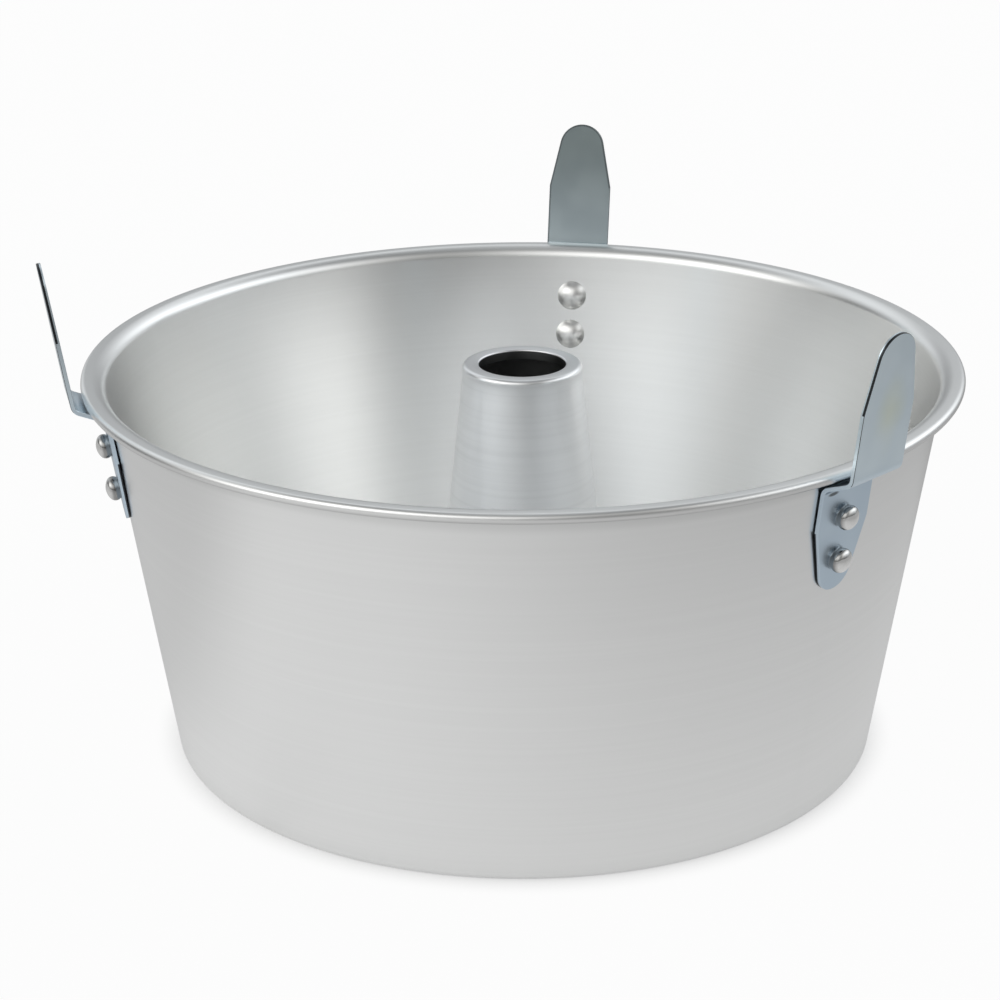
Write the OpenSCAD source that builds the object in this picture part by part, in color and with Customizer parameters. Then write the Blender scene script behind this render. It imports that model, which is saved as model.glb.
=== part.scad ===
// Angel food cake pan: a spun aluminium shell, a lift-out base plate with its centre tube,
// and three bent steel feet riveted to the wall, on which the pan stands upside down to cool.
// The origin is on the pan's axis at the resting face, +Z is up and -Y is the front.

/* [Pan] */
// Diameter over the rolled rim
rim_d = 254; // [236:1:280]
// Height from the resting face to the top of the rim
pan_h = 114.5; // [100:0.5:130]
// Diameter where the wall's outer face would meet the resting face
base_d = 207.8; // [190:0.2:216]
// Sheet thickness of the wall
wall_t = 1.2; // [0.8:0.1:1.3]
// Outer radius of the corner at the foot of the wall
corner_r = 2.4; // [1.8:0.1:4]
// Width of the ledge turned in under the base plate
ledge_w = 10; // [7:0.5:16]

/* [Rim] */
// How far the rolled rim stands out from the wall
rim_out = 5.5; // [5.2:0.1:8]
// Height of the rolled rim
bead_h = 2.9; // [2.8:0.1:4]
// Radius with which the inner face of the wall flares out into the rim
flare_r = 4; // [3:0.1:5]

/* [Base plate] */
// Thickness of the base plate
plate_t = 1.2; // [0.8:0.1:2]
// Gap between the plate's edge and the corner of the shell
plate_gap = 0.5; // [0.3:0.1:2]

/* [Centre tube] */
// Sheet thickness of the tube
tube_t = 1; // [0.8:0.1:1.1]
// Height of the tube's top ring above the resting face
tube_h = 112.9; // [96:0.1:128]
// Diameter over the tube's top ring
ring_d = 34.8; // [32:0.1:40]
// Diameter of the hole in the top ring
hole_d = 25.3; // [20:0.1:27]
// Height of the band rolled round the top ring
ring_band = 2.6; // [2:0.1:4]
// How far the band stands out from the tube
ring_proud = 0.4; // [0.2:0.1:1]
// Depth of the collar turned down inside the hole
collar_h = 3; // [2:0.5:8]
// Outer diameter of the tube at the base plate
tube_base_d = 58; // [50:0.5:70]
// Width of the flange crimped under the base plate
flange_w = 4.5; // [3:0.5:8]
// Height of the round shoulder above the base plate
shoulder_h = 2.2; // [1.6:0.1:3]
// Width of the round shoulder beyond the foot of the tube
shoulder_w = 1.8; // [1.6:0.1:3]

/* [Feet] */
// Direction of the left foot, counter-clockwise from +X
left_azimuth = 193.5; // [170:0.5:210]
// Direction of the back foot
back_azimuth = 81.5; // [60:0.5:110]
// Direction of the right foot
right_azimuth = -46; // [-60:0.5:-20]
// Turn of each foot about the middle of its rivets, counter-clockwise from outside, degrees
foot_turn = 1.3; // [-2:0.1:2]
// Width of the steel strip
strip_w = 20.2; // [18:0.1:24]
// Thickness of the steel strip
strip_t = 1.2; // [1:0.1:1.5]
// Distance of the lower bend below the top of the rim, along the wall
bend_drop = 6.4; // [5.9:0.1:12]
// Distance between the lower plate and the upper plate, square to the wall
step_out = 8.4; // [8:0.1:14]
// Rise of the step between the two bends
step_rise = 4.8; // [2:0.1:6]
// Inner radius of both bends
bend_r = 2.2; // [1.2:0.1:3]
// Length of the upper plate from its bend to its tip
upper_l = 41.1; // [36:0.1:60]
// Length of the upper plate's tapered end
upper_taper = 20.5; // [14:0.5:30]
// Radius of the upper tip
upper_tip_r = 7.2; // [5:0.1:8.5]
// Lean of the upper plate away from the wall's slope, degrees
upper_lean = 0.2; // [0:0.1:5]
// Length of the lower plate from its bend to its end
lower_l = 32; // [30:0.5:40]
// Length of the lower plate's tapered end
lower_taper = 19.5; // [10:0.5:22]
// Radius of the lower end
lower_tip_r = 6.4; // [4.5:0.1:8]

/* [Rivets] */
// Diameter of the rivet shank
shank_d = 4.8; // [4:0.1:5.5]
// Distance of the upper rivet below the lower bend
rivet_drop = 9.8; // [8.6:0.1:12]
// Distance between the two rivets of a foot
rivet_pitch = 12.9; // [10:0.1:14]
// Diameter of the domed head inside the pan
inner_head_d = 9.5; // [8:0.1:11]
// Height of the head inside the pan
inner_head_h = 2.6; // [1.8:0.1:3.5]
// Diameter of the set head outside
outer_head_d = 7; // [6.4:0.1:9]
// Height of the set head outside
outer_head_h = 3.8; // [3.4:0.1:4.4]
// Radius of the set head's rounded edge
outer_head_edge = 1.9; // [1.2:0.1:2.2]

/* [Hidden] */
$fn = 96;
// Facets of the pan's own circles, and of the rivets
pan_facets = 180;
rivet_facets = 48;

// Number of segments in each small rounded stretch
arc_steps = 8;
// Overlap that keeps joined shapes from meeting in a bare surface
bite = 0.5;
// Gap between the rolled edge of the rim and the wall
curl_gap = 0.5;
// Height of the slope from the tube's cone out to the band of its top ring
band_fillet = 1.6;
// How far the ring's band turns in below level, degrees
band_turn = 12;
// The set heads turn in below level by this much at most, and are crowned above this angle
head_turn = 35;
crown_a = 55;

// The wall's slope
rim_r = rim_d / 2;
base_r = base_d / 2;
slope = atan((rim_r - rim_out - base_r) / pan_h);
// Across the wall's sheet, measured level
across = wall_t / cos(slope);

// The wall flares out about this centre and rolls over about that of the bead
flare_z = pan_h - flare_r;
flare_c = wall_r(flare_z) - across + flare_r / cos(slope);
bead_r = bead_h / 2;
bead_c = rim_r - bead_r;
bead_z = pan_h - bead_r;

// The corner at the foot of the wall
corner_c = base_r + corner_r * tan(slope) - corner_r / cos(slope);
corner_in_r = corner_r - wall_t;
ledge_r = corner_c - ledge_w;

// The base plate lies on the ledge
plate_z = wall_t;
plate_top = plate_z + plate_t;
plate_r = corner_c - plate_gap;

// The tube's cone, measured on its outer face
cone_r1 = tube_base_d / 2;
cone_r2 = ring_d / 2 - ring_proud;
cone_h = tube_h - plate_top;
cone_slope = (cone_r1 - cone_r2) / cone_h;

// The feet bend outwards and have the middle of their rivets this far up the wall, and their
// step rises at this angle
bend_s = pan_h / cos(slope) - bend_drop;
rivets_s = bend_s - rivet_drop - rivet_pitch / 2;
step_angle = atan(step_rise / step_out);

function wall_r(z) = base_r + z * tan(slope);
function cone_r(z) = cone_r1 - (z - plate_top) * cone_slope;
function arc(cx, cy, r, a1, a2) =
    [for (i = [0 : arc_steps]) let (a = a1 + (a2 - a1) * i / arc_steps)
        [cx + r * cos(a), cy + r * sin(a)]];

// Pan shell: one sheet from the ledge, up the wall and over the rim to its curled edge
module shell_sheet() {
    low = pan_h - bead_h;
    under = low + wall_t;
    in_flare_r = flare_r - wall_t;
    // The curled edge stops just short of the wall
    edge_r = flare_c - sqrt(pow(in_flare_r, 2) - pow(under - flare_z, 2)) + curl_gap;
    polygon(concat(
        [[ledge_r, 0]],
        arc(corner_c, corner_r, corner_r, -90, -slope),
        arc(flare_c, flare_z, in_flare_r, 180 - slope, 90),
        arc(bead_c, bead_z, bead_r - wall_t, 90, -90),
        [[edge_r, under], [edge_r, low]],
        arc(bead_c, bead_z, bead_r, -90, 90),
        arc(flare_c, flare_z, flare_r, 90, 180 - slope),
        arc(corner_c, corner_r, corner_in_r, -slope, -90),
        [[ledge_r, wall_t]]));
}

module pan_shell() {
    color([0.78, 0.78, 0.77]) difference() {
        rotate_extrude($fn = pan_facets) shell_sheet();
        for (a = [left_azimuth, back_azimuth, right_azimuth]) rivet_holes(a);
    }
}

// Base plate: a flat disc with the hole that the tube is crimped into
module base_plate() {
    color([0.76, 0.76, 0.75]) translate([0, 0, plate_z]) difference() {
        cylinder(h = plate_t, r = plate_r, $fn = pan_facets);
        translate([0, 0, -bite]) cylinder(h = plate_t + 2 * bite, r = cone_r1);
    }
}

// Centre tube: collar, top ring, cone, shoulder over the plate and flange under it
module centre_tube() {
    hole_r = hole_d / 2;
    ring_r = ring_d / 2;
    band_r = ring_band / 2;
    shoulder_r = shoulder_h / 2;
    under_z = plate_z - tube_t;
    shoulder_top = plate_top + shoulder_h;
    inner_top = tube_h - tube_t;
    band_low = tube_h - ring_band - band_fillet;
    color([0.77, 0.77, 0.77]) rotate_extrude() polygon(concat(
        [[hole_r, tube_h - collar_h]],
        arc(hole_r + tube_t / 2, tube_h - tube_t / 2, tube_t / 2, 180, 90),
        arc(ring_r - band_r, tube_h - band_r, band_r, 90, -band_turn),
        [[cone_r(band_low), band_low]],
        [[cone_r(shoulder_top), shoulder_top]],
        arc(cone_r1 + shoulder_w - shoulder_r, plate_top + shoulder_r, shoulder_r, 90, -90),
        [[cone_r1, plate_top]],
        [[cone_r1, plate_z]],
        [[cone_r1 + flange_w, plate_z]],
        [[cone_r1 + flange_w, under_z]],
        [[cone_r1 - tube_t, under_z]],
        [[cone_r(shoulder_top) - tube_t, shoulder_top]],
        [[cone_r(inner_top) - tube_t, inner_top]],
        [[hole_r + tube_t, inner_top]],
        [[hole_r + tube_t, tube_h - collar_h]]));
}

// A foot in the wall's own frame: x along the strip's width, y away from the wall, z up the wall
module on_wall(azimuth) {
    rotate([0, 0, azimuth - 90])
        translate([0, base_r, 0])
            rotate([-slope, 0, 0])
                translate([0, 0, rivets_s])
                    rotate([0, foot_turn, 0])
                        translate([0, 0, -rivets_s])
                            children();
}

// Outline of a plate from its bend at z = 0 to a tapered, round end at z = len
module tapered_outline(len, taper, tip_r) {
    half = strip_w / 2;
    reach = taper - tip_r;
    turn = atan2(half, reach) - asin(tip_r / norm([reach, half]));
    c = len - tip_r;
    polygon(concat(
        [[-half, 0], [half, 0], [half, len - taper]],
        [for (i = [0 : 2 * arc_steps]) let (a = turn + (180 - 2 * turn) * i / (2 * arc_steps))
            [tip_r * cos(a), c + tip_r * sin(a)]],
        [[-half, len - taper]]));
}

// Side view of the strip: y away from the wall, z up the wall
module strip_side() {
    // Turn between the plates and the step
    turn = 90 - step_angle;
    turn2 = turn - upper_lean;
    r1 = bend_r;
    r2 = bend_r + strip_t;
    // Each arc is centred where both of its straight stretches are tangent
    c1 = [strip_t + r1, bend_s - r1 * tan(turn / 2)];
    u = [cos(step_angle), sin(step_angle)];
    d2 = [sin(upper_lean), cos(upper_lean)];
    corner = [strip_t + step_out, bend_s + step_rise];
    back = r2 * tan(turn2 / 2);
    c2 = corner - back * u + r2 * [-sin(step_angle), cos(step_angle)];
    tip = corner + upper_l * d2;
    polygon(concat(
        [[0, bend_s - lower_l], [strip_t, bend_s - lower_l]],
        arc(c1[0], c1[1], r1, 180, 90 + step_angle),
        arc(c2[0], c2[1], r2, step_angle - 90, -upper_lean),
        [tip, tip - strip_t * [cos(upper_lean), -sin(upper_lean)]],
        arc(c2[0], c2[1], r1, -upper_lean, step_angle - 90),
        arc(c1[0], c1[1], r2, 90 + step_angle, 180)));
}

module foot(azimuth) {
    half = strip_w / 2;
    // Clear of everything, so that the cutting shapes pass right through the strip
    far = 3 * strip_w;
    color([0.63, 0.67, 0.70]) on_wall(azimuth) difference() {
        intersection() {
            translate([half, 0, 0]) rotate([90, 0, -90])
                linear_extrude(height = strip_w) mirror([1, 0]) strip_side();
            union() {
                translate([0, far / 2, bend_s]) rotate([90, 0, 0])
                    linear_extrude(height = far) tapered_outline(upper_l + step_rise,
                        upper_taper, upper_tip_r);
                translate([0, far / 2, bend_s]) rotate([-90, 0, 0])
                    linear_extrude(height = far, center = true)
                        tapered_outline(lower_l, lower_taper, lower_tip_r);
            }
        }
        foot_holes();
    }
}

module foot_holes() {
    for (i = [0, 1])
        translate([0, -bite, bend_s - rivet_drop - i * rivet_pitch]) rotate([-90, 0, 0])
            cylinder(h = strip_t + 2 * bite, d = shank_d);
}

module rivet_holes(azimuth) {
    // Past both faces of the wall, so that each hole goes right through
    past = 3 * wall_t;
    on_wall(azimuth) for (i = [0, 1])
        translate([0, -past, bend_s - rivet_drop - i * rivet_pitch]) rotate([-90, 0, 0])
            cylinder(h = 2 * past, d = shank_d);
}

// Rivet: domed head inside the pan, shank through wall and strip, set head outside
module rivet(azimuth, row) {
    dome_r = (pow(inner_head_d / 2, 2) + pow(inner_head_h, 2)) / (2 * inner_head_h);
    dome_a = asin(inner_head_d / 2 / dome_r);
    // The set head's rounded edge runs on into a crown about a centre on the axis
    outer_c = outer_head_d / 2 - outer_head_edge;
    crown_r = outer_head_edge + outer_c / cos(crown_a);
    crown_z = strip_t + outer_head_h - crown_r;
    edge_z = crown_z + outer_c * tan(crown_a);
    low_a = min(head_turn, asin((edge_z - strip_t) / outer_head_edge));
    // The flat of the head touches the hollow side of the wall at its rim only
    hollow = pow(inner_head_d / 2, 2) / (2 * (base_r - wall_t));
    inner_z = -wall_t - hollow;
    color([0.80, 0.80, 0.79]) on_wall(azimuth)
        translate([0, 0, bend_s - rivet_drop - row * rivet_pitch]) rotate([-90, 0, 0])
            rotate_extrude($fn = rivet_facets) polygon(concat(
                [for (i = [0 : arc_steps]) let (a = dome_a * i / arc_steps)
                    [dome_r * sin(a), inner_z - inner_head_h + dome_r * (1 - cos(a))]],
                [[shank_d / 2, inner_z]],
                [[shank_d / 2, strip_t]],
                [[outer_c + outer_head_edge * cos(low_a), strip_t]],
                arc(outer_c, edge_z, outer_head_edge, -low_a, crown_a),
                arc(0, crown_z, crown_r, crown_a, 90)));
}

pan_shell();
base_plate();
centre_tube();
foot(left_azimuth);  // foot_left
foot(back_azimuth);  // foot_back
foot(right_azimuth);  // foot_right
rivet(left_azimuth, 0);  // rivet_left_upper
rivet(left_azimuth, 1);  // rivet_left_lower
rivet(back_azimuth, 0);  // rivet_back_upper
rivet(back_azimuth, 1);  // rivet_back_lower
rivet(right_azimuth, 0);  // rivet_right_upper
rivet(right_azimuth, 1);  // rivet_right_lower
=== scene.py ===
"""Angel food cake pan: the finish of its shell, insert, feet and rivets, and a plain studio."""
from math import asin, atan, atan2, cos, hypot, pi, radians, sin, sqrt, tan

import bmesh
import bpy
from bpy.props import FloatProperty, FloatVectorProperty, IntProperty, PointerProperty
from mathutils import Matrix, Vector


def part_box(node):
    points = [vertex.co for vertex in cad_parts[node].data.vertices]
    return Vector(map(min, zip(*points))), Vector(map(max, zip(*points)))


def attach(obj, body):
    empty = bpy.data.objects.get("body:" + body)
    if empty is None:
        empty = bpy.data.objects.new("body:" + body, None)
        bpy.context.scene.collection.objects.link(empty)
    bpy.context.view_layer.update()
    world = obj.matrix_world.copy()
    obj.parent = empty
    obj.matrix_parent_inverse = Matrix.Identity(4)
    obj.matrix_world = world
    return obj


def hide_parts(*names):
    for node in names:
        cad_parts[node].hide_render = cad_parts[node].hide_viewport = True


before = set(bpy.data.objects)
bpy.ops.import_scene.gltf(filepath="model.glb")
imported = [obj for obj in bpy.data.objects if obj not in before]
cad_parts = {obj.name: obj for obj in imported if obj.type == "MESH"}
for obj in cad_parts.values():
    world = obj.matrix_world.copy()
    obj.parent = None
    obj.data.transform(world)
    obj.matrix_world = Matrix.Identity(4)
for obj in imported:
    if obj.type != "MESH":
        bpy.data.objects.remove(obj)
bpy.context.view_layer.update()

bl_info = {
    "name": "Angel Food Cake Pan",
    "version": (1, 0, 0),
    "blender": (4, 5, 0),
    "location": "View3D > Sidebar > Cake Pan",
    "description": "Models the pan's sheet metal, feet and rivets round the packed frame",
    "category": "Object",
}

MM = 0.001
SHELL_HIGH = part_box("pan_shell")[1]
PLATE_LOW, PLATE_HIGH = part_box("base_plate")
TUBE_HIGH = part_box("centre_tube")[1]

# Layers that mark cut metal and painted shade, and the rivet heads that the setting tool formed
CUT_AND_SHADE = "cut_and_shade"
SET_HEAD = "set_head"

# Gap between the rim's curled edge and the wall
CURL_GAP = 0.5 * MM
# Below the rim: rings between which the wall's band of painted shade fades out, and the start
# of the band
BAND_RINGS = (5.0 * MM, 1.7 * MM)
BAND_START = 2.0 * MM
# How dark the painted shade on the band and on the rim's underside is, and the share of the
# bead over which that fades
BAND_SHADE = 0.2
BEAD_SHADE = 0.45
BEAD_FADE = 0.6

# Segments round the tube and round a rivet
TUBE_STEPS = 160
RIVET_STEPS = 48
# Rounding of the base plate's edge
PLATE_EDGE = 0.25 * MM
# The tube's band turns in by this angle, and slopes back to the cone over this height
RING_TURN = radians(102)
RING_SLOPE = 1.6 * MM
# The shoulder is rounded about a centre this share of its radius outside the cone
SHOULDER_REACH = 0.6
# How strong the painted shade is inside the tube, below its collar
TUBE_INSIDE_SHADE = 0.65

# Strip edges that turn by more than this angle are broken by a small bevel
SQUARE_EDGE = 1.2
EDGE_BREAK = 0.12 * MM
# Width of the line of painted shade along the edge of the face towards the pan, and how dark it
# is
LINE_WIDTH = 0.4 * MM
SHADE_LINE = 0.5
# Share of a sheared edge that the die tore
TORN_SHARE = 0.4

# A set head turns in below its edge by the first angle, and its crown starts at the second
HEAD_TURN = radians(35)
CROWN_ANGLE = radians(55)

# Noise in the finishes, in cells a metre: streaks round the wall, clouds, mottle and knocks
STREAK_SCALE = (11, 11, 900)
CLOUD_SCALE = 9.0
MOTTLE_SCALE = 90.0
KNOCK_SCALE = 420.0
# How far the clouds shift the roughness
CLOUD_DEPTH = 0.008
# Tones, as shares of the metal's colour: a streak, painted shade on spun metal, and a painted
# dark reflection on a set head's flank
STREAK_TONE = 0.978
SHADE_TONE = 0.25
FLANK_TONE = 0.36
# How much smoother a set head is than a dome
HEAD_POLISH = -0.19

# A yellow-green bloom on the right foot's upper plate: middle and half sizes
BLOOM = ((92.5 * MM, -96.5 * MM, 130 * MM), (7 * MM, 7 * MM, 15 * MM))
BLOOM_TONE = (1.06, 1.0, 0.80)
# A small dark oval on the same foot, near its lower bend: middle, half sizes and turn
DARK_OVAL = ((79.8 * MM, -91.8 * MM, 106.3 * MM), (2.4 * MM, 0.8 * MM, 0.65 * MM), radians(44))
DARK_OVAL_TONE = 0.22
# The feet are bluer below a height, and the back foot has painted shade, deepest towards its tip
LOW_FADE = (107 * MM, 116 * MM)
LOW_TONE = (0.80, 0.83, 0.88)
BACK_SIDE = (0.0, 120 * MM)
BACK_FADE = (116 * MM, 148 * MM)
BACK_LEAST = 0.57
BACK_SHADE = (0.42, 0.435, 0.415)
# The mottle's darker patches
CLOUDED = (0.93, 0.94, 0.95)
CLEAR = (1.0, 1.0, 1.0)

# The tent's soft lights: by height, the brightness at each direction from +X, all in degrees
RING_LIGHTS = (
    (6, {60: 0.34, 90: 0.12, 120: 0.62}),
    (22, {15: 1.00, 45: 0.95, 75: 0.20, 135: 0.32, 165: 0.08, 195: 1.18, 225: 0.83, 255: 0.66,
          285: 0.34, 315: 0.46, 345: 0.43}),
    (40, {0: 0.72, 30: 0.30, 60: 0.30, 90: 0.52, 120: 0.50, 150: 0.44, 180: 0.33, 210: 1.00,
          240: 0.73, 270: 0.69, 300: 0.54, 330: 0.72}),
    (65, {90: 0.32, 270: 0.07}),
    (90, {0: 0.33}),
)
# How fast they fall off
RING_SPREAD = 20.0
# The dark opening that the camera looks through: direction, height, spread and depth
OPENING = (297, 30, 10.0, 0.70)
# The lights are cool within a right angle of this direction, and warm elsewhere
COOL_SIDE = 60
COOL = (0.97, 1.0, 1.02)
WARM = (1.0, 1.0, 0.985)

FLOOR_REACH = 6.0
# Share of white in what the camera sees of the floor, and the distances from the pan's axis
# between which it grows to that, so that the part under the pan keeps its own shade
FLOOR_WHITE = 0.95
OPEN_FLOOR = (92 * MM, 112 * MM)
# What metal mirrors of the floor, with the distances that it changes between: from left to
# right, the glow that is added close to the pan, and the share that is left on the dim side
GLOW_ACROSS = (0.615, 0.37, -0.3, 0.3)
GLOW_NEAR = (0.18, 0.0, 0.11, 0.48)
GLOW_BEHIND = (1.0, 0.77, -0.01, 0.11)
DIM_SIDE = radians(120)
# Sockets of a Mix node that blends colours, whose names aren't unique
MIX_FACTOR, MIX_FIRST, MIX_SECOND, MIX_RESULT = 0, 6, 7, 2


def length(name, about, default, low=0.0, high=1.0):
    """A size in metres, as a property."""
    return FloatProperty(name=name, description=about, default=default, min=low, max=high,
                         unit="LENGTH", subtype="DISTANCE", precision=4)


def colour(name, about, default):
    """A colour in linear light, as a property."""
    return FloatVectorProperty(name=name, description=about, default=default, size=3,
                               subtype="COLOR", min=0.0, max=1.0)


class PanShellSettings(bpy.types.PropertyGroup):
    """Sizes of the spun shell."""
    rim_radius: length("Rim radius", "Radius over the rolled rim", SHELL_HIGH.x)
    height: length("Height", "Resting face to the top of the rim", SHELL_HIGH.z)
    base_radius: length("Base radius", "Where the wall would meet the resting face", 103.9 * MM)
    sheet: length("Sheet", "Thickness of the wall", 1.2 * MM)
    corner: length("Corner", "Outer radius of the corner at the wall's foot", 2.4 * MM)
    ledge: length("Ledge", "Width of the ledge under the base plate", 10 * MM)
    rim_out: length("Rim out", "How far the rim stands out from the wall", 5.5 * MM)
    bead_height: length("Bead height", "Height of the rolled rim", 2.9 * MM)
    flare: length("Flare", "Radius with which the inner face runs into the rim", 4.0 * MM)
    metal: colour("Metal", "Colour of the spun aluminium", (0.95, 0.955, 0.95))
    steps: IntProperty(name="Steps", description="Segments round the pan", default=288,
                       min=24, max=720)


class InsertSettings(bpy.types.PropertyGroup):
    """Sizes of the base plate and its centre tube."""
    plate_radius: length("Plate radius", "Radius of the base plate", PLATE_HIGH.x)
    tube_sheet: length("Tube sheet", "Thickness of the tube", 1.0 * MM)
    ring_radius: length("Ring radius", "Radius over the tube's top ring", 17.4 * MM)
    hole_radius: length("Hole radius", "Radius of the hole in the top ring", 12.65 * MM)
    band: length("Band", "Height of the band rolled round the ring", 2.6 * MM)
    proud: length("Proud", "How far the band stands out from the tube", 0.4 * MM)
    collar: length("Collar", "Depth of the collar inside the hole", 3.0 * MM)
    foot_radius: length("Foot radius", "Outer radius of the tube at the base plate", 29.0 * MM)
    flange: length("Flange", "Width of the flange under the plate", 4.5 * MM)
    shoulder: length("Shoulder", "Height of the shoulder on the plate", 2.2 * MM)
    plate_metal: colour("Plate metal", "Colour of the base plate", (0.90, 0.905, 0.90))
    tube_metal: colour("Tube metal", "Colour of the centre tube", (0.93, 0.94, 0.95))


class FootSettings(bpy.types.PropertyGroup):
    """Sizes of the bent steel feet."""
    width: length("Width", "Width of the steel strip", 20.2 * MM)
    sheet: length("Sheet", "Thickness of the steel strip", 1.2 * MM)
    bend_drop: length("Bend drop", "Lower bend below the rim's top", 6.4 * MM)
    step_out: length("Step out", "Distance between the two plates", 8.4 * MM)
    step_rise: length("Step rise", "Rise of the step between the bends", 4.8 * MM)
    bend: length("Bend", "Inner radius of both bends", 2.2 * MM)
    upper: length("Upper", "Length of the upper plate", 41.1 * MM)
    upper_taper: length("Upper taper", "Length of its tapered end", 20.5 * MM)
    upper_tip: length("Upper tip", "Radius of its tip", 7.2 * MM)
    lower: length("Lower", "Length of the lower plate", 32.0 * MM)
    lower_taper: length("Lower taper", "Length of its tapered end", 19.5 * MM)
    lower_tip: length("Lower tip", "Radius of its end", 6.4 * MM)
    lean: FloatProperty(name="Lean", description="Lean of the upper plate off the wall's slope",
                        default=radians(0.2), subtype="ANGLE")
    turn: FloatProperty(name="Turn", description="Turn about the middle of the foot's rivets",
                        default=radians(1.3), subtype="ANGLE")
    left: FloatProperty(name="Left foot", description="Direction from +X",
                        default=radians(193.5), subtype="ANGLE")
    back: FloatProperty(name="Back foot", description="Direction from +X",
                        default=radians(81.5), subtype="ANGLE")
    right: FloatProperty(name="Right foot", description="Direction from +X",
                         default=radians(-46.0), subtype="ANGLE")
    zinc: colour("Zinc", "Colour of the zinc plate", (0.81, 0.92, 0.985))
    # The sheared edges are bare steel, painted near-black for their shade and dark reflections
    cut_steel_and_shade: colour("Cut steel", "Colour of the sheared edges", (0.05, 0.055, 0.06))


class RivetSettings(bpy.types.PropertyGroup):
    """Sizes of the rivets."""
    shank: length("Shank", "Radius of the shank", 2.4 * MM)
    drop: length("Drop", "Upper rivet below the lower bend", 9.8 * MM)
    pitch: length("Pitch", "Distance between a foot's two rivets", 12.9 * MM)
    inner_radius: length("Inner head radius", "Radius of the dome inside the pan", 4.75 * MM)
    inner_height: length("Inner head height", "Height of the dome inside the pan", 2.6 * MM)
    outer_radius: length("Outer head radius", "Radius of the set head outside", 3.5 * MM)
    outer_height: length("Outer head height", "Height of the set head outside", 3.8 * MM)
    outer_edge: length("Outer head edge", "Radius of its rounded edge", 1.9 * MM)
    metal: colour("Metal", "Colour of the rivets", (0.90, 0.90, 0.89))


class StageSettings(bpy.types.PropertyGroup):
    """The camera and the studio."""
    distance: length("Distance", "Camera to its aim", 798.3 * MM, 0.1, 3.0)
    aim_x: length("Aim across", "Aim beside the pan's axis", -6.74 * MM, -1.0, 1.0)
    aim_z: length("Aim up", "Aim above the resting face", 70.36 * MM)
    elevation: FloatProperty(name="Elevation", description="Camera above the horizon",
                             default=radians(20.81), subtype="ANGLE")
    roll: FloatProperty(name="Roll", description="Camera's roll", default=radians(-0.37),
                        subtype="ANGLE")
    lens: FloatProperty(name="Lens", description="Focal length in millimetres", default=97.16)


def settings():
    """The scene's own copy of every property."""
    return bpy.context.scene.cake_pan


class CakePanSettings(bpy.types.PropertyGroup):
    """Everything about the pan that a user may change."""
    shell: PointerProperty(type=PanShellSettings)
    insert: PointerProperty(type=InsertSettings)
    foot: PointerProperty(type=FootSettings)
    rivet: PointerProperty(type=RivetSettings)
    stage: PointerProperty(type=StageSettings)


# Drawing a profile in the XZ plane


class Pen:
    """Draws a chain of edges in the XZ plane, with straight lines and true arcs."""

    def __init__(self, bm, x, z):
        self.bm = bm
        self.first = self.tip = bm.verts.new((x, 0.0, z))

    def line(self, x, z):
        made = bmesh.ops.extrude_vert_indiv(self.bm, verts=[self.tip])
        self.tip = made["verts"][0]
        self.tip.co = (x, 0.0, z)

    def arc(self, x, z, angle, steps=8):
        """Turns about (x, z) by an angle, positive from +X towards +Z."""
        made = bmesh.ops.spin(self.bm, geom=[self.tip], cent=(x, 0.0, z), axis=(0, -1, 0),
                              dvec=(0, 0, 0), angle=angle, steps=steps, use_duplicate=False)
        self.tip = [g for g in made["geom_last"] if isinstance(g, bmesh.types.BMVert)][0]

    def close(self):
        self.bm.edges.new((self.tip, self.first))


def turn_round_axis(bm, steps):
    """Spins the drawn profile into a closed body round Z."""
    bmesh.ops.spin(bm, geom=bm.verts[:] + bm.edges[:], cent=(0, 0, 0), axis=(0, 0, 1),
                   dvec=(0, 0, 0), angle=2 * pi, steps=steps, use_merge=True,
                   use_duplicate=False)
    bmesh.ops.remove_doubles(bm, verts=bm.verts, dist=1e-6)
    bmesh.ops.recalc_face_normals(bm, faces=bm.faces)


def finish_piece(bm, name, body, material, sharp=35.0):
    """Turns the bmesh into an object that stands for the node of the same name.

    It is shaded smooth, apart from edges that turn by more than the sharp angle in degrees.
    """
    mesh = bpy.data.meshes.new(name)
    bm.to_mesh(mesh)
    bm.free()
    for face in mesh.polygons:
        face.use_smooth = True
    mesh.set_sharp_from_angle(angle=radians(sharp))
    piece = bpy.data.objects.new(name + "_finished", mesh)
    bpy.context.scene.collection.objects.link(piece)
    mesh.materials.append(material)
    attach(piece, body)
    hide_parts(name)
    return piece


# Materials


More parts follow.
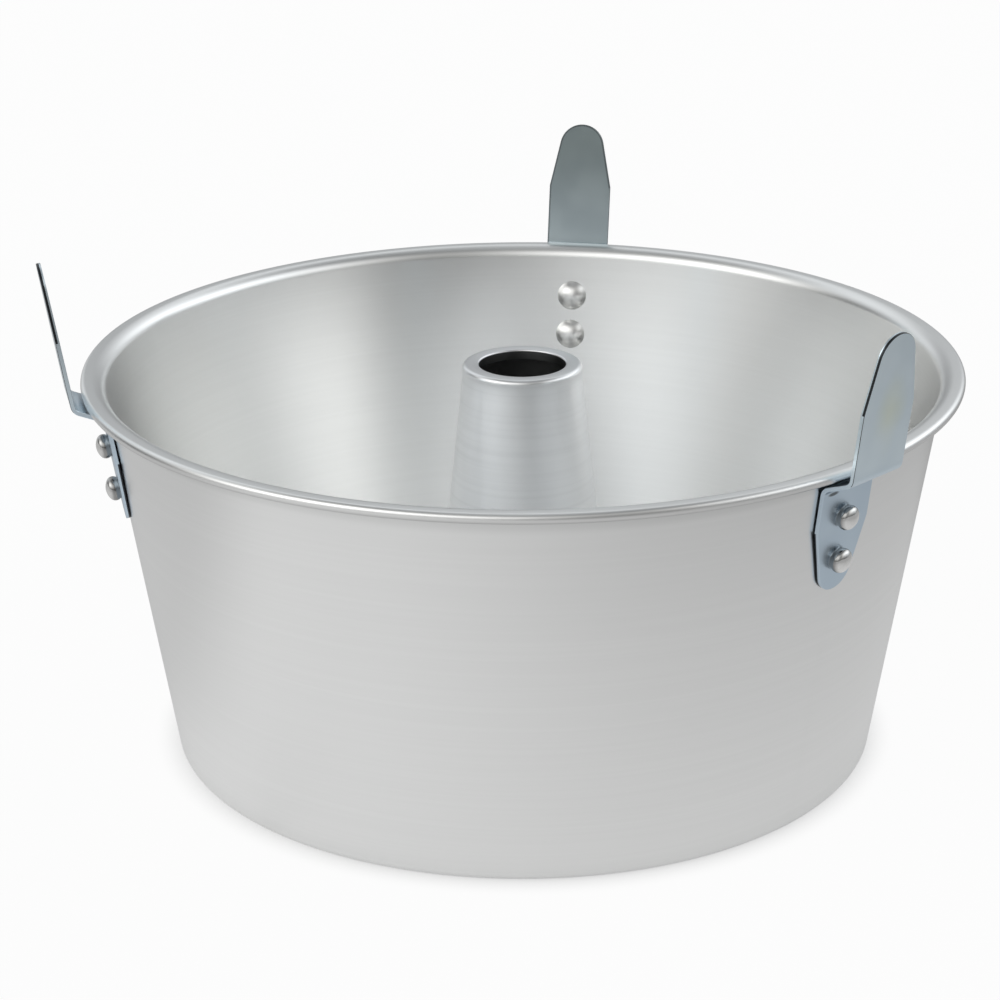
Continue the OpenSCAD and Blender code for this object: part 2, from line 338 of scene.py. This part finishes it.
class Nodes:
    """Adds and links the nodes of a material or of the world."""

    def __init__(self, owner, shader, coordinates):
        owner.use_nodes = True
        self.owner = owner
        self.tree = owner.node_tree
        self.shader = self.tree.nodes[shader]
        self.place = self.add("ShaderNodeTexCoord").outputs[coordinates]

    def add(self, kind, **values):
        node = self.tree.nodes.new(kind)
        for key, value in values.items():
            setattr(node, key, value)
        return node

    def link(self, source, target):
        self.tree.links.new(source, target)

    def give(self, value, target):
        """Links another node's output to a socket, or sets it to a plain value or colour."""
        if isinstance(value, bpy.types.NodeSocket):
            self.link(value, target)
        elif target.type == "RGBA":
            target.default_value = (*value, 1.0)
        else:
            target.default_value = value

    def fill(self, node, *values):
        """Gives a node's first sockets their values in turn, and returns its outputs."""
        for value, target in zip(values, node.inputs):
            self.give(value, target)
        return node.outputs

    def math(self, operation, *values):
        return self.fill(self.add("ShaderNodeMath", operation=operation), *values)["Value"]

    def vector_math(self, operation, *values):
        return self.fill(self.add("ShaderNodeVectorMath", operation=operation),
                         *values)["Vector"]

    def measure(self, operation, *values):
        """A vector's length, or the dot product of two."""
        return self.fill(self.add("ShaderNodeVectorMath", operation=operation),
                         *values)["Value"]

    def combine(self, x, y, z):
        return self.fill(self.add("ShaderNodeCombineXYZ"), x, y, z)["Vector"]

    def axes(self):
        """The place's X, Y and Z."""
        return self.fill(self.add("ShaderNodeSeparateXYZ"), self.place)

    def mark(self, layer):
        """How strongly a layer marks this place."""
        return self.add("ShaderNodeAttribute", attribute_name=layer).outputs["Fac"]

    def stretched(self, scale):
        """The place, scaled along each axis."""
        node = self.add("ShaderNodeMapping")
        node.inputs["Scale"].default_value = scale
        self.link(self.place, node.inputs["Vector"])
        return node.outputs["Vector"]

    def spot(self, centre, sizes, turn=0.0):
        """Distance from a centre, in units of the sizes, with X and Y turned about Z."""
        node = self.add("ShaderNodeMapping", vector_type="TEXTURE")
        node.inputs["Location"].default_value = centre
        node.inputs["Rotation"].default_value = (0, 0, turn)
        node.inputs["Scale"].default_value = sizes
        self.link(self.place, node.inputs["Vector"])
        return self.measure("LENGTH", node.outputs["Vector"])

    def noise(self, vector, scale, detail=2.0, roughness=0.5):
        node = self.add("ShaderNodeTexNoise")
        node.inputs["Scale"].default_value = scale
        node.inputs["Detail"].default_value = detail
        node.inputs["Roughness"].default_value = roughness
        self.link(vector, node.inputs["Vector"])
        return node.outputs["Fac"]

    def span(self, value, low, high, from_low=0.3, from_high=0.7):
        """Runs smoothly from low to high, while the value runs through its own range."""
        node = self.add("ShaderNodeMapRange", interpolation_type="SMOOTHSTEP")
        node.inputs["From Min"].default_value = from_low
        node.inputs["From Max"].default_value = from_high
        node.inputs["To Min"].default_value = low
        node.inputs["To Max"].default_value = high
        self.link(value, node.inputs["Value"])
        return node.outputs["Result"]

    def blend(self, factor, first, second, blend_type="MIX"):
        """Two colours mixed, each a plain colour or another node's output."""
        node = self.add("ShaderNodeMix", data_type="RGBA", blend_type=blend_type)
        self.give(factor, node.inputs[MIX_FACTOR])
        self.give(first, node.inputs[MIX_FIRST])
        self.give(second, node.inputs[MIX_SECOND])
        return node.outputs[MIX_RESULT]

    def bump(self, height, distance, strength=1.0):
        node = self.add("ShaderNodeBump")
        node.inputs["Distance"].default_value = distance
        node.inputs["Strength"].default_value = strength
        self.link(height, node.inputs["Height"])
        return node.outputs["Normal"]


def new_material(name):
    """The nodes of a new material, whose patterns follow the piece's own place."""
    return Nodes(bpy.data.materials.new(name), "Principled BSDF", "Object")


def shade(tint, tone):
    """The colour times a tone: one number, or one each for red, green and blue."""
    tones = tone if isinstance(tone, tuple) else (tone, tone, tone)
    return tuple(c * t for c, t in zip(tint, tones))


def lathe_rings(nodes, scale):
    """Noise that changes with height and distance from the axis only, as turned rings do."""
    x, y, z = nodes.axes()
    reach = nodes.measure("LENGTH", nodes.combine(x, y, 0.0))
    return nodes.noise(nodes.combine(reach, 0.0, z), scale, roughness=0.6)


def spun_aluminium(name, tint, roughness, ring_scale, ring_tone, ring_depth):
    """Satin aluminium off the lathe: rings, long streaks, soft clouds, painted shade where
    marked.
    """
    nodes = new_material(name)
    shader = nodes.shader
    rings = lathe_rings(nodes, ring_scale)
    streaks = nodes.noise(nodes.stretched(STREAK_SCALE), 1.0)
    cloud = nodes.noise(nodes.place, CLOUD_SCALE, detail=3.0)
    tone = nodes.blend(nodes.span(rings, 0.0, 1.0), shade(tint, 1.0 - ring_tone), tint)
    tone = nodes.blend(nodes.span(streaks, 1.0, 0.0), tone, shade(tint, STREAK_TONE))
    tone = nodes.blend(nodes.mark(CUT_AND_SHADE), tone, shade(tint, SHADE_TONE))
    nodes.link(tone, shader.inputs["Base Color"])
    nodes.link(nodes.span(cloud, roughness - CLOUD_DEPTH, roughness + CLOUD_DEPTH),
               shader.inputs["Roughness"])
    nodes.link(nodes.bump(rings, ring_depth), shader.inputs["Normal"])
    tangent = nodes.add("ShaderNodeTangent", direction_type="RADIAL", axis="Z")
    nodes.link(tangent.outputs["Tangent"], shader.inputs["Tangent"])
    shader.inputs["Metallic"].default_value = 1.0
    shader.inputs["Anisotropic"].default_value = 0.65
    shader.inputs["Anisotropic Rotation"].default_value = 0.25
    return nodes.owner


def zinc_plate(name, tint, cut):
    """Bright zinc plate: bluish, in places yellow-green or with painted shade, and bare where
    cut.
    """
    nodes = new_material(name)
    _, y, z = nodes.axes()
    mottle = nodes.noise(nodes.place, MOTTLE_SCALE, detail=1.0)
    # The mottle gives the bloom a torn edge
    ragged = nodes.math("ADD", nodes.spot(*BLOOM), mottle)
    tone = nodes.blend(nodes.span(ragged, 0.75, 0.0, 0.4, 1.5), tint, shade(tint, BLOOM_TONE))
    tone = nodes.blend(nodes.span(z, 1.0, 0.0, *LOW_FADE), tone, shade(tint, LOW_TONE))
    # Painted shade on the back foot, deepest towards its tip
    back = nodes.math("MULTIPLY", nodes.span(y, 0.0, 1.0, *BACK_SIDE),
                      nodes.span(z, BACK_LEAST, 1.0, *BACK_FADE))
    tone = nodes.blend(back, tone, shade(tint, BACK_SHADE))
    # A small dark oval near the right foot's lower bend
    dark_oval = nodes.span(nodes.spot(*DARK_OVAL), 1.0, 0.0, 0.5, 1.1)
    tone = nodes.blend(dark_oval, tone, shade(tint, DARK_OVAL_TONE))
    cloud = nodes.blend(nodes.span(mottle, 0.0, 1.0), CLOUDED, CLEAR)
    tone = nodes.blend(1.0, tone, cloud, "MULTIPLY")
    # Cut edges and the line along the face towards the pan get the near-black painted shade
    tone = nodes.blend(nodes.mark(CUT_AND_SHADE), tone, cut)
    nodes.link(tone, nodes.shader.inputs["Base Color"])
    nodes.link(nodes.span(mottle, 0.285, 0.325), nodes.shader.inputs["Roughness"])
    nodes.shader.inputs["Metallic"].default_value = 1.0
    return nodes.owner


def rivet_metal(name, tint):
    """Bright aluminium: satin on the dome, and polished by the tool on the set head."""
    nodes = new_material(name)
    knock = nodes.noise(nodes.place, KNOCK_SCALE, detail=3.0)
    tone = nodes.blend(nodes.span(knock, 0.0, 1.0), shade(tint, 0.95), shade(tint, 1.04))
    # Painted dark reflection on the set head's flank
    tone = nodes.blend(nodes.mark(CUT_AND_SHADE), tone, shade(tint, FLANK_TONE))
    nodes.link(tone, nodes.shader.inputs["Base Color"])
    gloss = nodes.math("MULTIPLY_ADD", nodes.mark(SET_HEAD), HEAD_POLISH,
                       nodes.span(knock, 0.285, 0.335))
    nodes.link(gloss, nodes.shader.inputs["Roughness"])
    nodes.link(nodes.bump(knock, 0.06 * MM, 0.5), nodes.shader.inputs["Normal"])
    nodes.shader.inputs["Metallic"].default_value = 1.0
    return nodes.owner


def mark_faces(bm, layer, test):
    """Fills a face layer with what the test gives for each face, from 0 to 1."""
    values = [float(test(face)) for face in bm.faces]
    marks = bm.faces.layers.float.new(layer)
    for face, value in zip(bm.faces, values):
        face[marks] = value


# The wall's own frame, in which the feet and rivets are made


def wall_slope():
    """Angle of the wall from the vertical."""
    s = settings().shell
    return atan((s.rim_radius - s.rim_out - s.base_radius) / s.height)


def on_wall(bm, azimuth):
    """Moves a piece made with Y away from the wall and Z up the wall to its place on the pan."""
    s = settings()
    middle = lower_bend() - s.rivet.drop - s.rivet.pitch / 2
    place = (Matrix.Rotation(azimuth - pi / 2, 4, "Z")
             @ Matrix.Translation((0, s.shell.base_radius, 0))
             @ Matrix.Rotation(-wall_slope(), 4, "X")
             @ Matrix.Translation((0, 0, middle))
             @ Matrix.Rotation(s.foot.turn, 4, "Y")
             @ Matrix.Translation((0, 0, -middle)))
    bmesh.ops.transform(bm, matrix=place, verts=bm.verts)


def lower_bend():
    """Distance of the feet's lower bend up the wall."""
    s = settings()
    return s.shell.height / cos(wall_slope()) - s.foot.bend_drop


class MakePanShell(bpy.types.Operator):
    """Spin the shell: ledge, corner, wall and rolled rim"""
    bl_idname = "cake_pan.pan_shell"
    bl_label = "Pan Shell"

    def execute(self, context):
        s = settings().shell
        slope = wall_slope()
        t = s.sheet
        corner_x = s.base_radius + s.corner * tan(slope) - s.corner / cos(slope)
        upright = pi / 2 - slope
        # Centres of the flare and of the bead
        flare_z = s.height - s.flare
        flare_x = s.base_radius + flare_z * tan(slope) - t / cos(slope) + s.flare / cos(slope)
        inner_flare = s.flare - t
        bead = s.bead_height / 2
        bead_x = s.rim_radius - bead
        bead_z = s.height - bead
        low = s.height - s.bead_height
        edge_x = flare_x - sqrt(inner_flare ** 2 - (low + t - flare_z) ** 2) + CURL_GAP
        bm = bmesh.new()
        pen = Pen(bm, corner_x - s.ledge, 0.0)
        # Outside: ledge, corner, wall, and on under the rim to the curled edge
        pen.line(corner_x, 0.0)
        pen.arc(corner_x, s.corner, upright, 10)
        for below in BAND_RINGS:
            pen.line(s.base_radius + (low - below) * tan(slope), low - below)
        pen.line(flare_x - inner_flare * cos(slope), flare_z + inner_flare * sin(slope))
        pen.arc(flare_x, flare_z, -upright, 12)
        pen.line(bead_x, s.height - t)
        pen.arc(bead_x, bead_z, -pi, 8)
        pen.line(edge_x, low + t)
        pen.line(edge_x, low)
        # Back round the bead, over the top and down the inside of the wall
        pen.line(bead_x, low)
        pen.arc(bead_x, bead_z, pi, 24)
        pen.line(flare_x, s.height)
        pen.arc(flare_x, flare_z, upright, 20)
        inner = s.corner - t
        pen.line(corner_x + inner * cos(slope), s.corner - inner * sin(slope))
        pen.arc(corner_x, s.corner, -upright, 8)
        pen.line(corner_x - s.ledge, t)
        pen.close()
        turn_round_axis(bm, s.steps)
        # Painted shade on the rim's underside, and on the wall close under it
        marks = bm.verts.layers.float.new(CUT_AND_SHADE)
        for vert in bm.verts:
            reach = vert.co.xy.length
            outside = reach > s.base_radius + vert.co.z * tan(slope) - t / 2
            if outside and low - BAND_START < vert.co.z < low:
                vert[marks] = BAND_SHADE
            elif reach > bead_x - 1e-6:
                under = (bead_z - vert.co.z) / (BEAD_FADE * bead)
                vert[marks] = BEAD_SHADE * min(1.0, max(0.0, under))
        material = spun_aluminium("satin spun aluminium", s.metal, roughness=0.285,
                                  ring_scale=320.0, ring_tone=0.015, ring_depth=0.002 * MM)
        finish_piece(bm, "pan_shell", "shell", material)
        return {"FINISHED"}


class MakeInsert(bpy.types.Operator):
    """Make the base plate and spin the centre tube"""
    bl_idname = "cake_pan.insert"
    bl_label = "Base Plate and Tube"

    def execute(self, context):
        self.make_plate()
        self.make_tube()
        return {"FINISHED"}

    def make_plate(self):
        s = settings().insert
        low, high = PLATE_LOW.z, PLATE_HIGH.z
        rim = s.plate_radius - PLATE_EDGE
        bm = bmesh.new()
        pen = Pen(bm, s.foot_radius, low)
        pen.line(rim, low)
        pen.arc(rim, low + PLATE_EDGE, pi / 2, 4)
        pen.line(s.plate_radius, high - PLATE_EDGE)
        pen.arc(rim, high - PLATE_EDGE, pi / 2, 4)
        pen.line(s.foot_radius, high)
        pen.close()
        turn_round_axis(bm, settings().shell.steps)
        material = spun_aluminium("rolled sheet aluminium", s.plate_metal, roughness=0.30,
                                  ring_scale=320.0, ring_tone=0.01, ring_depth=0.002 * MM)
        finish_piece(bm, "base_plate", "insert", material)

    def make_tube(self):
        s = settings().insert
        t = s.tube_sheet
        top = TUBE_HIGH.z
        plate_low, plate_high = PLATE_LOW.z, PLATE_HIGH.z
        cone_top = s.ring_radius - s.proud
        slope = (s.foot_radius - cone_top) / (top - plate_high)

        def cone(z):
            return s.foot_radius - (z - plate_high) * slope

        band = s.band / 2
        ring_x = s.ring_radius - band
        under = top - s.band - RING_SLOPE
        shoulder = s.shoulder / 2
        shoulder_x = s.foot_radius + SHOULDER_REACH * shoulder
        shoulder_top = plate_high + s.shoulder
        flange_x = s.foot_radius + s.flange
        bm = bmesh.new()
        pen = Pen(bm, s.hole_radius, top - s.collar)
        # Up the collar, over the ring, round the band and down the cone
        pen.line(s.hole_radius, top - t / 2)
        pen.arc(s.hole_radius + t / 2, top - t / 2, -pi / 2, 6)
        pen.line(ring_x, top)
        pen.arc(ring_x, top - band, -RING_TURN, 16)
        pen.line(cone(under), under)
        pen.line(cone(shoulder_top), shoulder_top)
        pen.line(shoulder_x, shoulder_top)
        pen.arc(shoulder_x, plate_high + shoulder, -pi, 10)
        pen.line(s.foot_radius, plate_high)
        # Through the plate, out under it and back up inside
        pen.line(s.foot_radius, plate_low)
        pen.line(flange_x, plate_low)
        pen.line(flange_x, plate_low - t)
        pen.line(s.foot_radius - t, plate_low - t)
        pen.line(cone(shoulder_top) - t, shoulder_top)
        pen.line(cone(top - t) - t, top - t)
        pen.line(s.hole_radius + t, top - t)
        pen.line(s.hole_radius + t, top - s.collar)
        pen.close()
        turn_round_axis(bm, TUBE_STEPS)
        # Painted shade on the tube's inside, full within the collar and less below it
        mark_faces(bm, CUT_AND_SHADE, lambda face: self.inside_mark(face, top - t, top - s.collar))
        material = spun_aluminium("turned tube aluminium", s.tube_metal, roughness=0.285,
                                  ring_scale=480.0, ring_tone=0.07, ring_depth=0.012 * MM)
        finish_piece(bm, "centre_tube", "insert", material)

    @staticmethod
    def inside_mark(face, ring, collar):
        """1 inside the collar, less on the rest of the tube's inside, and 0 outside."""
        centre = face.calc_center_median()
        if centre.z > ring or face.normal.xy.dot(centre.xy) >= 0.0:
            return 0.0
        return 1.0 if centre.z > collar else TUBE_INSIDE_SHADE


class MakeFeet(bpy.types.Operator):
    """Cut, bend and place the three steel feet"""
    bl_idname = "cake_pan.feet"
    bl_label = "Feet"

    def execute(self, context):
        s = settings().foot
        material = zinc_plate("bright zinc plate", s.zinc, s.cut_steel_and_shade)
        for name, azimuth in (("left", s.left), ("back", s.back), ("right", s.right)):
            bm = bmesh.new()
            self.cut_strip(bm)
            self.bend_strip(bm)
            on_wall(bm, azimuth)
            finish_piece(bm, "foot_" + name, "shell", material, sharp=30.0)
        return {"FINISHED"}

    def cut_strip(self, bm):
        """The flat strip, up Z from the lower end at Z = 0, its inner face at Y = 0."""
        s = settings().foot
        half = s.width / 2
        upper = s.lower + self.step_length()
        total = upper + s.upper
        # One half of the outline: lower tip, side and upper tip
        pen = Pen(bm, 0.0, 0.0)
        low = self.taper_angle(s.lower_taper, s.lower_tip)
        high = self.taper_angle(s.upper_taper, s.upper_tip)
        pen.arc(0.0, s.lower_tip, pi / 2 - low, 14)
        pen.line(half, s.lower_taper)
        pen.line(half, total - s.upper_taper)
        centre = total - s.upper_tip
        pen.line(s.upper_tip * cos(high), centre + s.upper_tip * sin(high))
        pen.arc(0.0, centre, pi / 2 - high, 16)
        bmesh.ops.mirror(bm, geom=bm.verts[:] + bm.edges[:], axis="X", merge_dist=1e-6)
        bmesh.ops.remove_doubles(bm, verts=bm.verts, dist=1e-6)
        face = bmesh.ops.contextual_create(bm, geom=bm.edges[:])["faces"][0]
        grown = bmesh.ops.extrude_face_region(bm, geom=[face])["geom"]
        bmesh.ops.translate(bm, vec=(0, s.sheet, 0),
                            verts=[g for g in grown if isinstance(g, bmesh.types.BMVert)])
        bmesh.ops.recalc_face_normals(bm, faces=bm.faces)
        square = [e for e in bm.edges
                  if len(e.link_faces) == 2 and e.calc_face_angle() > SQUARE_EDGE]
        bmesh.ops.bevel(bm, geom=square, offset=EDGE_BREAK, offset_type="OFFSET", segments=1,
                        profile=0.5, affect="EDGES", material=-1)
        inner_face = max(bm.faces, key=lambda f: -f.normal.y * f.calc_area())
        line = bmesh.ops.inset_region(bm, faces=[inner_face], thickness=LINE_WIDTH,
                                      use_even_offset=True, use_boundary=True)["faces"]
        # The long sides keep their zinc. The die burnished one side of each end's edge and tore
        # the other, which is bare steel painted near-black for its shade and dark reflections.
        torn = TORN_SHARE * s.sheet
        for place, across in (((0, torn, 0), (0, 1, 0)), ((0, 0, upper), (0, 0, 1))):
            bmesh.ops.bisect_plane(bm, geom=bm.verts[:] + bm.edges[:] + bm.faces[:], dist=1e-7,
                                   plane_co=place, plane_no=across)
        mark_faces(bm, CUT_AND_SHADE,
                   lambda f: SHADE_LINE if f in line else self.torn_mark(f, torn, upper))

    @staticmethod
    def torn_mark(face, torn, upper):
        """1 on the dark part of a die-cut edge and its bevel, and less on the other bevel."""
        if abs(face.normal.y) > 0.99 or abs(face.normal.x) > 0.999:
            return 0.0
        centre = face.calc_center_median()
        if centre.z > upper:
            return 1.0 if centre.y > torn else SHADE_LINE * (face.normal.y < -0.05)
        long_side = abs(face.normal.z) < 0.01
        return 1.0 if centre.y < torn and not long_side else 0.0

    @staticmethod
    def taper_angle(taper, tip):
        """Where the tapered side meets the round tip, as an angle from straight across."""
        half = settings().foot.width / 2
        reach = taper - tip
        return atan2(half, reach) - asin(tip / hypot(reach, half))

    def step_length(self):
        """Length of strip that the bends and the step take up between the two plates' corners."""
        s = settings().foot
        return hypot(s.step_out, s.step_rise)

    def bend_strip(self, bm):
        """Bends the strip out at the lower bend and back up at the upper one."""
        s = settings().foot
        step_angle = atan2(s.step_rise, s.step_out)
        first = pi / 2 - step_angle
        second = first - s.lean
        run = self.step_length()
        # The upper bend comes first, so that the flat strip below it is still straight
        self.bend(bm, s.lower + run, second, -1)
        self.bend(bm, s.lower, first, 1)
        bmesh.ops.translate(bm, vec=(0, 0, lower_bend() - s.lower), verts=bm.verts)

    def bend(self, bm, corner, angle, side, steps=8):
        """Rolls the strip beyond a corner through an angle, away from the wall for side 1."""
        s = settings().foot
        outer = s.bend + s.sheet
        # The bend starts where its outer or inner face leaves the straight stretch
        back = (s.bend if side > 0 else outer) * tan(angle / 2)
        start = corner - back
        # Length of flat strip to roll, kept so that both corners stay where they were drawn
        flat = 2 * back
        for i in range(steps + 1):
            z = start + flat * i / steps
            bmesh.ops.bisect_plane(bm, geom=bm.verts[:] + bm.edges[:] + bm.faces[:],
                                   dist=1e-7, plane_co=(0, 0, z), plane_no=(0, 0, 1))
        centre_y = (s.sheet + s.bend) if side > 0 else -s.bend
        for vert in bm.verts:
            along = vert.co.z - start
            if along <= 1e-7:
                continue
            part = min(along / flat, 1.0)
            turn = Matrix.Rotation(-angle * part * side, 4, "X")
            arm = Vector((vert.co.x, vert.co.y - centre_y, max(along - flat, 0.0)))
            vert.co = turn @ arm + Vector((0, centre_y, start))


class MakeRivets(bpy.types.Operator):
    """Turn the six rivets and set them in their holes"""
    bl_idname = "cake_pan.rivets"
    bl_label = "Rivets"

    def execute(self, context):
        s = settings()
        material = rivet_metal("polished rivet aluminium", s.rivet.metal)
        for name, azimuth in (("left", s.foot.left), ("back", s.foot.back),
                              ("right", s.foot.right)):
            for row, level in enumerate(("upper", "lower")):
                bm = bmesh.new()
                self.turn(bm)
                up = lower_bend() - s.rivet.drop - row * s.rivet.pitch
                bmesh.ops.rotate(bm, cent=(0, 0, 0), matrix=Matrix.Rotation(-pi / 2, 3, "X"),
                                 verts=bm.verts)
                bmesh.ops.translate(bm, vec=(0, 0, up), verts=bm.verts)
                on_wall(bm, azimuth)
                finish_piece(bm, f"rivet_{name}_{level}", "shell", material)
        return {"FINISHED"}

    def turn(self, bm):
        """The rivet along Z: dome inside the pan below, set head on the strip above."""
        s = settings().rivet
        wall = settings().shell.sheet
        strip = settings().foot.sheet
        hollow = s.inner_radius ** 2 / (2 * (settings().shell.base_radius - wall))
        seat = -wall - hollow
        dome = (s.inner_radius ** 2 + s.inner_height ** 2) / (2 * s.inner_height)
        edge_x = s.outer_radius - s.outer_edge
        crown = s.outer_edge + edge_x / cos(CROWN_ANGLE)
        crown_z = strip + s.outer_height - crown
        edge_z = crown_z + edge_x * tan(CROWN_ANGLE)
        pen = Pen(bm, 0.0, seat - s.inner_height)
        pen.arc(0.0, seat - s.inner_height + dome, asin(s.inner_radius / dome), 12)
        pen.line(s.shank, seat)
        pen.line(s.shank, strip)
        # The set head: in under its edge, round it and over the crown
        pen.line(edge_x + s.outer_edge * cos(HEAD_TURN), strip)
        pen.line(pen.tip.co.x, edge_z - s.outer_edge * sin(HEAD_TURN))
        pen.arc(edge_x, edge_z, HEAD_TURN + CROWN_ANGLE, 12)
        pen.arc(0.0, crown_z, pi / 2 - CROWN_ANGLE, 8)
        turn_round_axis(bm, RIVET_STEPS)
        mark_faces(bm, SET_HEAD, lambda face: face.calc_center_median().z > strip)
        mark_faces(bm, CUT_AND_SHADE, lambda face: self.flank_mark(face, strip))

    @staticmethod
    def flank_mark(face, strip):
        """1 on the set head's flank, fading out towards its crown, and 0 on the dome."""
        if face.calc_center_median().z <= strip:
            return 0.0
        return min(1.0, max(0.0, 1.6 - 2.0 * face.normal.z))


class MakeStage(bpy.types.Operator):
    """Set the camera, the floor and the light tent"""
    bl_idname = "cake_pan.stage"
    bl_label = "Studio"

    def execute(self, context):
        self.make_camera(context.scene)
        self.make_floor(context.scene)
        self.make_world(context.scene)
        context.scene.view_settings.view_transform = "Standard"
        return {"FINISHED"}

    def make_camera(self, scene):
        s = settings().stage
        data = bpy.data.cameras.new("camera")
        data.sensor_width = 36.0
        data.lens = s.lens
        data.clip_start = 0.01
        data.clip_end = 50.0
        camera = bpy.data.objects.new("camera", data)
        scene.collection.objects.link(camera)
        scene.camera = camera
        look = Vector((0.0, cos(s.elevation), -sin(s.elevation)))
        camera.location = Vector((s.aim_x, 0.0, s.aim_z)) - look * s.distance
        turn = look.to_track_quat("-Z", "Y").to_matrix() @ Matrix.Rotation(s.roll, 3, "Z")
        camera.rotation_euler = turn.to_euler()

    def make_floor(self, scene):
        bm = bmesh.new()
        bmesh.ops.create_grid(bm, x_segments=1, y_segments=1, size=FLOOR_REACH)
        mesh = bpy.data.meshes.new("floor")
        bm.to_mesh(mesh)
        bm.free()
        floor = bpy.data.objects.new("floor", mesh)
        scene.collection.objects.link(floor)
        nodes = new_material("white floor")
        nodes.shader.inputs["Base Color"].default_value = (0.85, 0.85, 0.85, 1)
        nodes.shader.inputs["Roughness"].default_value = 0.9
        glow = nodes.add("ShaderNodeEmission")
        nodes.link(self.floor_glow(nodes), glow.inputs["Strength"])
        self.show_to_lens(nodes, nodes.shader.outputs["BSDF"], glow.outputs["Emission"])
        mesh.materials.append(nodes.owner)

    @staticmethod
    def floor_glow(nodes):
        """White to the camera; what metal mirrors is dimmer on the right and at the back left."""
        across = nodes.axes()["X"]
        away = nodes.measure("LENGTH", nodes.place)
        behind = nodes.measure("DOT_PRODUCT", nodes.place, (cos(DIM_SIDE), sin(DIM_SIDE), 0.0))
        near = nodes.math("ADD", nodes.span(across, *GLOW_ACROSS), nodes.span(away, *GLOW_NEAR))
        total = nodes.math("MULTIPLY", near, nodes.span(behind, *GLOW_BEHIND))
        path = nodes.add("ShaderNodeLightPath").outputs
        return nodes.math("MAXIMUM", total, path["Is Camera Ray"])

    @staticmethod
    def show_to_lens(nodes, plain, bright):
        """Gives the camera, and what metal and glass show, a share of the bright shader."""
        path = nodes.add("ShaderNodeLightPath").outputs
        seen = nodes.math("MAXIMUM", path["Is Camera Ray"], path["Is Glossy Ray"])
        seen = nodes.math("MAXIMUM", seen, path["Is Transmission Ray"])
        away = nodes.measure("LENGTH", nodes.place)
        share = nodes.math("MULTIPLY", nodes.span(away, 0.0, FLOOR_WHITE, *OPEN_FLOOR), seen)
        mixed = nodes.fill(nodes.add("ShaderNodeMixShader"), share, plain, bright)["Shader"]
        nodes.link(mixed, nodes.tree.nodes["Material Output"].inputs["Surface"])

    def make_world(self, scene):
        """A light tent: rings of soft, wide lights on a dark ground, white to the camera."""
        scene.world = bpy.data.worlds.new("light tent")
        nodes = Nodes(scene.world, "Background", "Generated")
        tent = (0.0, 0.0, 0.0)
        for elevation, lights in RING_LIGHTS:
            for azimuth, bright in lights.items():
                cool = cos(radians(azimuth - COOL_SIDE)) > 0.0
                tint = shade(COOL if cool else WARM, bright)
                tent = self.soft_light(nodes, tent, azimuth, elevation, RING_SPREAD, tint)
        azimuth, elevation, spread, depth = OPENING
        opening = self.soft_light(nodes, (1.0, 1.0, 1.0), azimuth, elevation, spread,
                                  (-depth, -depth, -depth))
        tent = nodes.vector_math("MULTIPLY", tent, opening)
        path = nodes.add("ShaderNodeLightPath").outputs
        shown = nodes.vector_math("MAXIMUM", tent, path["Is Camera Ray"])
        nodes.link(shown, nodes.shader.inputs["Color"])
        nodes.shader.inputs["Strength"].default_value = 1.0

    @staticmethod
    def soft_light(nodes, total, azimuth, elevation, spread, tint):
        """Adds one light that falls off round its aim, as exp(spread * (cos - 1))."""
        level = cos(radians(elevation))
        aim = (level * cos(radians(azimuth)), level * sin(radians(azimuth)),
               sin(radians(elevation)))
        near = nodes.measure("DOT_PRODUCT", nodes.place, aim)
        fall = nodes.math("EXPONENT", nodes.math("MULTIPLY_ADD", near, spread, -spread))
        return nodes.vector_math("MULTIPLY_ADD", fall, tint, total)


class CakePanPanel(bpy.types.Panel):
    """The pan's operators, in the 3D view's sidebar"""
    bl_label = "Cake Pan"
    bl_idname = "CAKE_PAN_PT_main"
    bl_space_type = "VIEW_3D"
    bl_region_type = "UI"
    bl_category = "Cake Pan"

    def draw(self, context):
        for operator in OPERATORS:
            self.layout.operator(operator.bl_idname)


OPERATORS = (MakePanShell, MakeInsert, MakeFeet, MakeRivets, MakeStage)
CLASSES = (PanShellSettings, InsertSettings, FootSettings, RivetSettings, StageSettings,
           CakePanSettings, *OPERATORS, CakePanPanel)


def register():
    for cls in CLASSES:
        bpy.utils.register_class(cls)
    bpy.types.Scene.cake_pan = PointerProperty(type=CakePanSettings)


def unregister():
    del bpy.types.Scene.cake_pan
    for cls in reversed(CLASSES):
        bpy.utils.unregister_class(cls)


def main():
    register()
    bpy.ops.cake_pan.pan_shell()
    bpy.ops.cake_pan.insert()
    bpy.ops.cake_pan.feet()
    bpy.ops.cake_pan.rivets()
    bpy.ops.cake_pan.stage()


if __name__ == "__main__":
    main()
